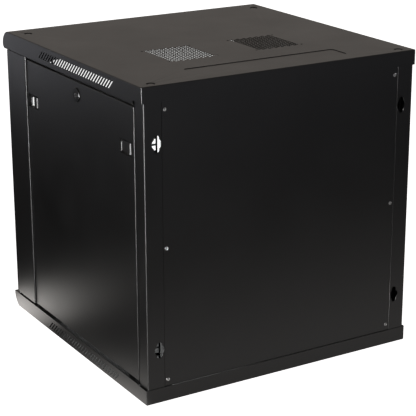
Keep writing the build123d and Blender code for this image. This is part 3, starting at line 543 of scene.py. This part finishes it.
@dataclass
class CrossScrews:
    """A set of screws with domed heads and cross recesses, which stands for one node of plain ones."""

    name: str
    node: str
    body: str
    slot: str
    coat: Coat
    seats: list[Vec]
    axis: Vec
    head_radius: float = 0.0036
    head_height: float = 0.0016
    shank_radius: float = 0.002
    shank_length: float = 0.008
    recess_depth: float = 0.0011
    arm_half: float = 0.17
    arm_slope: float = 0.1
    arm_reach: float = 0.62
    reach_slope: float = 0.16
    dome_fall: float = 0.85
    dome_power: float = 2.6
    taper_start: float = 0.92
    tip_share: float = 0.7
    first_turn: float = 0.55
    next_turn: float = 1.37
    sharp_angle: float = math.radians(38.0)
    rings: int = 15
    sides: int = 40

    def head(self) -> tuple[np.ndarray, np.ndarray]:
        """Work out one screw about +Z, its seat at 0.

        The top is a height over a disc: a dome that falls with a power of the radius, less a cross whose
        depth is the product of two slopes, one across an arm and one along it, both measured in radii of the
        head. A straight wall, the seat and the shank follow as more rings, down to the tip's middle.

        Returns:
            The points, and the faces.
        """
        share = np.linspace(0.0, 1.0, self.rings)
        turn = np.linspace(0.0, TAU, self.sides, endpoint=False)
        radius, angle = np.meshgrid(share[1:] * self.head_radius, turn, indexing="ij")
        across = np.minimum(np.abs(radius * np.cos(angle)), np.abs(radius * np.sin(angle)))
        across, out = across / self.head_radius, radius / self.head_radius
        arm = np.clip((self.arm_half - across) / self.arm_slope + 0.5, 0.0, 1.0)
        reach = np.clip((self.arm_reach - out) / self.reach_slope + 0.5, 0.0, 1.0)
        dome = self.head_height * (1.0 - self.dome_fall * out**self.dome_power)
        height = dome - self.recess_depth * arm * reach
        top = np.stack([radius * np.cos(angle), radius * np.sin(angle), height], axis=-1)
        lower = np.array(
            [
                (self.head_radius, 0.0),
                (self.shank_radius, 0.0),
                (self.shank_radius, -self.shank_length * self.taper_start),
                (self.shank_radius * self.tip_share, -self.shank_length),
            ]
        )
        ring = np.stack(
            [
                lower[:, :1] * np.cos(turn),
                lower[:, :1] * np.sin(turn),
                np.repeat(lower[:, 1:], self.sides, axis=1),
            ],
            axis=-1,
        )
        body = np.concatenate([top, ring], axis=0)
        rows = body.shape[0]
        poles = [[0.0, 0.0, self.head_height - self.recess_depth], [0.0, 0.0, -self.shank_length]]
        points = np.concatenate([body.reshape(-1, 3), poles])
        quads = grid_faces(rows, self.sides, True)[:, ::-1]
        column = np.arange(self.sides)
        after = (column + 1) % self.sides
        middle = np.full(self.sides, rows * self.sides)
        crown = np.stack([middle, column, after, after], axis=-1)
        last = (rows - 1) * self.sides
        tip = np.stack([middle + 1, last + after, last + column, last + column], axis=-1)
        return points, np.concatenate([quads, crown, tip])

    def build(self) -> bpy.types.Object:
        """Set a turned copy of the screw on each seat, and join them in one piece.

        Returns:
            The piece.
        """
        points, faces = self.head()
        out = np.array(self.axis, float)
        side = np.array((1.0, 0.0, 0.0))
        basis = np.stack([side, np.cross(out, side), out])
        all_points, all_faces = [], []
        for index, seat in enumerate(self.seats):
            turn = self.first_turn + self.next_turn * index
            cosine, sine = math.cos(turn), math.sin(turn)
            spin = np.array([[cosine, -sine, 0.0], [sine, cosine, 0.0], [0.0, 0.0, 1.0]])
            all_points.append(points @ spin.T @ basis + np.array(seat))
            all_faces.append(faces + index * len(points))
        joined = np.concatenate(all_faces).tolist()
        rows = [row[:3] if row[2] == row[3] else row for row in joined]
        piece = add_mesh(self.name, np.concatenate(all_points), rows)
        mesh = piece.data
        face_out(mesh)
        mesh.shade_smooth()
        mesh.set_sharp_from_angle(angle=self.sharp_angle)
        mesh.materials.append(self.coat.material())
        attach(piece, self.body)
        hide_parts(self.node)
        return piece


@dataclass
class PinSpring:
    """The coil spring that pushes the upper hinge pin out of the door."""

    foot: Vec
    height: float = 0.0137
    radius: float = 0.0037
    wire: float = 0.00032
    turns: float = 7.0
    steps: int = 240
    sides: int = 10
    name: str = "hinge_pin_coil_spring"

    def build(self) -> bpy.types.Object:
        """Carry a round wire along a helix.

        The line is a circle's point that climbs evenly with its angle. The wire's ring lies in the plane of
        the outward direction and the line's binormal, which is the cross product of the tangent and the
        outward direction.

        Returns:
            The piece.
        """
        share = np.linspace(0.0, 1.0, self.steps)
        angle = share * self.turns * TAU
        outward = np.stack([np.cos(angle), np.sin(angle), np.zeros_like(angle)], axis=-1)
        line = outward * self.radius
        line[:, 2] = self.wire + share * (self.height - 2.0 * self.wire)
        tangent = np.gradient(line, axis=0)
        tangent /= np.linalg.norm(tangent, axis=1, keepdims=True)
        binormal = np.cross(tangent, outward)
        turn = np.linspace(0.0, TAU, self.sides, endpoint=False)[None, :, None]
        round_line = np.cos(turn) * outward[:, None] + np.sin(turn) * binormal[:, None]
        rings = line[:, None] + self.wire * round_line
        points = np.concatenate([rings.reshape(-1, 3), line[:1], line[-1:]]) + np.array(self.foot)
        quads = grid_faces(self.steps, self.sides, True)
        column = np.arange(self.sides)
        after = (column + 1) % self.sides
        first = np.full(self.sides, self.steps * self.sides)
        last = (self.steps - 1) * self.sides
        caps = np.concatenate(
            [
                np.stack([first, after, column], axis=-1),
                np.stack([first + 1, last + column, last + after], axis=-1),
            ]
        )
        piece = add_mesh(self.name, points, quads.tolist() + caps.tolist())
        mesh = piece.data
        face_out(mesh)
        mesh.shade_smooth()
        mesh.materials.append(Coat.ZINC.material())
        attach(piece, "door")
        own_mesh(piece)
        return piece


@dataclass
class Card:
    """A soft light: a rectangle that the cabinet mirrors and the camera doesn't see."""

    name: str
    centre: Vec
    toward: Vec
    size: Pair
    power: float

    def build(self) -> bpy.types.Object:
        """Place the light at its centre, facing its aim.

        Returns:
            The light.
        """
        light = bpy.data.lights.new(self.name, "AREA")
        light.shape = "RECTANGLE"
        light.size, light.size_y = self.size
        light.energy = self.power
        lamp = link(self.name, light)
        back = np.array(self.centre) - np.array(self.toward)
        back /= np.linalg.norm(back)
        right = np.cross((0.0, 0.0, 1.0), back)
        right /= np.linalg.norm(right)
        turn = np.eye(4)
        turn[:3] = np.column_stack([right, np.cross(back, right), back, self.centre])
        lamp.matrix_world = Matrix(turn.tolist())
        lamp.visible_camera = False
        lamp.visible_diffuse = False
        lamp.visible_transmission = False
        return lamp


@dataclass
class LitFloor:
    """The lit part of the floor, which the cabinet mirrors and the camera doesn't see.

    A pair holds the place where a share is 0 and the place where it is 1, along X, along Y, or past the foot.
    """

    reach: float = 2.5
    height: float = -0.0002
    foot_half: float = 0.3
    tint: Vec = (1.0, 0.96, 0.92)
    strength: float = 5.0
    hinge_side: Pair = (0.28, 0.3)
    door_start: Pair = (-0.1, -0.28)
    door_end: Pair = (-0.46, -0.3)
    door_least: float = 0.05
    side_fade: Pair = (0.26, 0.0)
    side_power: float = 4.0
    side_glow: float = 4.3
    foot_rise: Pair = (-0.05, 0.25)
    foot_fade: Pair = (0.16, 0.0)
    foot_power: float = 1.5
    foot_glow: float = 0.36
    rim_fade: Pair = (0.035, 0.0)
    rim_glow: float = 0.45
    rear_rise: Pair = (0.0, 0.4)
    rear_fade: Pair = (1.0, 0.0)
    rear_glow: float = 0.55

    def build(self) -> bpy.types.Object:
        """Lay the sheet of light.

        The light falls off with the greater of the distances past the foot's sides along X and Y. On the
        hinge side it is strong and falls fast toward the door, and it is weak toward the wall, with a narrow
        brighter rim. Behind the rear panel it is weak and falls slowly. Elsewhere there is none.

        Returns:
            The sheet.
        """
        sheet = add_level("studio_lit_floor", self.reach, self.height)
        material, graph = start_material("lit_floor")
        along, back, _ = graph.axes("Object")
        past = (abs(along) - self.foot_half).over(abs(back) - self.foot_half)
        door = back.step(*self.door_start) * back.step(*self.door_end)
        door = door * (1.0 - self.door_least) + self.door_least
        beside = past.step(*self.side_fade) ** self.side_power * door * self.side_glow
        foot = past.step(*self.foot_fade) ** self.foot_power * self.foot_glow
        rim = past.step(*self.rim_fade) * self.rim_glow
        side = (beside + (foot + rim) * back.step(*self.foot_rise)) * along.step(*self.hinge_side)
        rear = past.step(*self.rear_fade) * back.step(*self.rear_rise) * self.rear_glow
        colour = graph.mix((side + rear) / self.strength, (0.0, 0.0, 0.0), self.tint)
        graph.surface(graph.node("ShaderNodeEmission", {}, {"Color": colour, "Strength": self.strength}))
        sheet.data.materials.append(material)
        sheet.visible_camera = False
        sheet.visible_diffuse = False
        sheet.visible_transmission = False
        sheet.visible_shadow = False
        return sheet


@dataclass
class Room:
    """The light that comes from all round, one colour for each direction.

    A pair holds the X, Y or Z of the direction at which a share is 0 and the one at which it is 1.
    """

    dark: Vec = (0.055, 0.055, 0.058)
    cool: Vec = (1.2, 1.21, 1.32)
    warm: Vec = (0.56, 0.51, 0.465)
    above: Pair = (0.04, 0.2)
    overhead: Pair = (0.2, 0.75)
    overhead_loss: float = 0.6
    door_side: Pair = (0.5, -0.6)
    door_share: float = 0.65
    band_foot: Pair = (-0.37, -0.2)
    band_power: float = 2.3
    band_top: Pair = (-0.06, -0.17)
    east: Pair = (-0.6, -0.44)
    east_share: float = 0.9
    wall_side: Pair = (0.3, 0.8)
    wall_foot: Pair = (-0.38, -0.24)
    wall_glow: float = 0.3
    west: Pair = (0.1, -0.3)
    west_front: Pair = (0.3, -0.2)
    west_foot: Pair = (-0.6, -0.3)
    west_glow: float = 0.12

    def build(self) -> bpy.types.World:
        """Build the world.

        Above the horizon the room is a warm grey, brighter toward the door and dimmer overhead. Just below
        the horizon lies a band of cool light, wider toward the wall and a tenth as bright past the -X side,
        where a faint glow reaches lower toward the door. Under the band the room is nearly black.

        Returns:
            The world.
        """
        world = bpy.data.worlds.new("studio_room")
        bpy.context.scene.world = world
        world.use_nodes = True
        graph = Graph(world.node_tree)
        across, deep, height = graph.axes("Generated")
        rise = height.step(*self.above) * (1.0 - height.step(*self.overhead) * self.overhead_loss)
        ahead = deep.step(*self.door_side) * self.door_share + (1.0 - self.door_share)
        east = across.step(*self.east) * self.east_share + (1.0 - self.east_share)
        behind = deep.step(*self.wall_side) * height.step(*self.wall_foot) * self.wall_glow
        west = across.step(*self.west) * deep.step(*self.west_front) * height.step(*self.west_foot)
        band = height.step(*self.band_foot) ** self.band_power + behind
        under = (band * east + west * self.west_glow) * height.step(*self.band_top)
        colour = graph.mix(rise * ahead, graph.mix(under, self.dark, self.cool), self.warm)
        back = graph.node("ShaderNodeBackground", {}, {"Color": colour, "Strength": 1.0})
        graph.node("ShaderNodeOutputWorld", {}, {"Surface": back.outputs[0]})
        return world


@dataclass
class Studio:
    """A pale floor, white walls far off, the lit floor and the room that the cabinet mirrors, and a card."""

    reach: float = 30.0
    height: float = -0.0004
    glow: float = 1.1
    pale: Vec = (0.85, 0.85, 0.85)
    white: Vec = (1.0, 1.0, 1.0)
    roughness: float = 0.9
    card: Card = field(
        default_factory=lambda: Card("corner_card", (2.3, 1.35, 0.13), (0.3, 0.3, 0.1), (0.7, 1.0), 235.0)
    )

    def floor(self) -> bpy.types.Object:
        """Lay the floor, which the camera sees as plain white and the cabinet doesn't mirror.

        Returns:
            The floor.
        """
        floor = add_level("studio_floor", self.reach, self.height)
        material, graph = start_material("pale_floor")
        shader = graph.node(
            "ShaderNodeBsdfPrincipled",
            {},
            {
                "Base Color": (*self.pale, 1.0),
                "Roughness": self.roughness,
                "Specular IOR Level": 0.0,
                "Emission Color": (*self.white, 1.0),
                "Emission Strength": self.glow,
            },
        )
        graph.surface(shader)
        floor.data.materials.append(material)
        floor.visible_glossy = False
        floor.visible_diffuse = False
        return floor

    def walls(self) -> bpy.types.Object:
        """Stand white walls and a ceiling far off, which only the camera and the glass see.

        Returns:
            The walls.
        """
        foot = np.column_stack([CORNERS * self.reach, np.zeros(len(CORNERS))])
        head = foot + (0.0, 0.0, self.reach)
        faces = [[0, 1, 5, 4], [1, 2, 6, 5], [2, 3, 7, 6], [3, 0, 4, 7], [4, 5, 6, 7]]
        walls = add_mesh("studio_walls", np.concatenate([foot, head]), faces)
        material, graph = start_material("white_walls")
        graph.surface(
            graph.node("ShaderNodeEmission", {}, {"Color": (*self.white, 1.0), "Strength": self.glow})
        )
        walls.data.materials.append(material)
        walls.visible_glossy = False
        walls.visible_diffuse = False
        walls.visible_shadow = False
        return walls

    def build(self) -> None:
        """Build the floor, the walls, the room and the lights, and show colours as they are."""
        self.floor()
        self.walls()
        LitFloor().build()
        Room().build()
        self.card.build()
        view = bpy.context.scene.view_settings
        view.view_transform = "Standard"
        view.look = "None"
        view.exposure = 0.0
        view.gamma = 1.0


@dataclass
class PhotoCamera:
    """The camera nearest to the photograph's that has no shift."""

    azimuth: float = 149.085
    elevation: float = 18.226
    roll: float = -0.184
    place: Vec = (1.4578, 2.4562, 1.1909)
    focal_px: float = 1456.38
    frame_px: float = 416.0
    sensor: float = 36.0
    farthest: float = 200.0

    def build(self) -> bpy.types.Object:
        """Turn the camera by its azimuth, elevation and roll, and make it the scene's.

        Returns:
            The camera.
        """
        around, up, roll = (math.radians(v) for v in (self.azimuth, self.elevation, self.roll))
        level = math.cos(up)
        back = np.array((math.sin(around) * level, -math.cos(around) * level, math.sin(up)))
        right = np.cross(-back, (0.0, 0.0, 1.0))
        right /= np.linalg.norm(right)
        top = np.cross(right, -back)
        turn = np.eye(4)
        turn[:3, 0] = math.cos(roll) * right + math.sin(roll) * top
        turn[:3, 1] = -math.sin(roll) * right + math.cos(roll) * top
        turn[:3, 2] = back
        turn[:3, 3] = self.place
        lens = bpy.data.cameras.new("photo_camera")
        lens.sensor_fit = "HORIZONTAL"
        lens.sensor_width = self.sensor
        lens.lens = self.focal_px / self.frame_px * self.sensor
        lens.clip_end = self.farthest
        camera = link("photo_camera", lens)
        camera.matrix_world = Matrix(turn.tolist())
        bpy.context.scene.camera = camera
        return camera


def rear_panel_screws() -> CrossScrews:
    """Find the seats of the rear panel's screws, three to a side.

    The box of the plain screws ends at their outer edges and at the tops of their heads.

    Returns:
        The screws.
    """
    plain_radius, plain_height = 0.004, 0.0016
    low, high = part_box("rear_panel_screws")
    depth = high[1] - plain_height
    side = high[0] - plain_radius
    heights = (low[2] + plain_radius, (low[2] + high[2]) / 2.0, high[2] - plain_radius)
    seats = [(x, depth, z) for x in (-side, side) for z in heights]
    # The heads wear the darkened zinc, which paints the shade of their recesses into their colour
    return CrossScrews(
        "rear_panel_cross_screws", "rear_panel_screws", "cabinet", "zinc_plated_steel", Coat.BLACK_ZINC,
        seats, (0.0, 1.0, 0.0),
    )


def hinge_spring() -> PinSpring:
    """Set the spring on the floor of the upper pin's guide, round the hinge's axis.

    Returns:
        The spring.
    """
    hinge_x, guide_floor = 0.292, 0.007
    low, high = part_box("hinge_pin_guide")
    return PinSpring((hinge_x, (low[1] + high[1]) / 2.0, low[2] + guide_floor))


def main() -> None:
    """Load the frame, remake and dress its pieces, add the small ones, and light the scene."""
    logging.basicConfig(level=logging.INFO, format="%(name)s: %(message)s")
    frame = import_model()
    record = frame["record"]
    slots = {part["node"]: part["material_slot"] for part in record["subparts"]}
    sheets = CaseSheets(frame["nodes"], slots, record["behaviour"]["bodies"])
    for node in sorted(slots):
        if slots[node] in SHEET_SLOTS:
            piece = sheets.remake(node)
            LOG.info("%s remade with %d faces", piece.name, len(piece.data.polygons))
        else:
            sheets.dress(node)
            LOG.info("%s dressed in %s", node, slots[node])

    for small in (rear_panel_screws(), hinge_spring()):
        piece = small.build()
        LOG.info("%s made with %d faces", piece.name, len(piece.data.polygons))

    Studio().build()
    PhotoCamera().build()


if __name__ == "__main__":
    main()
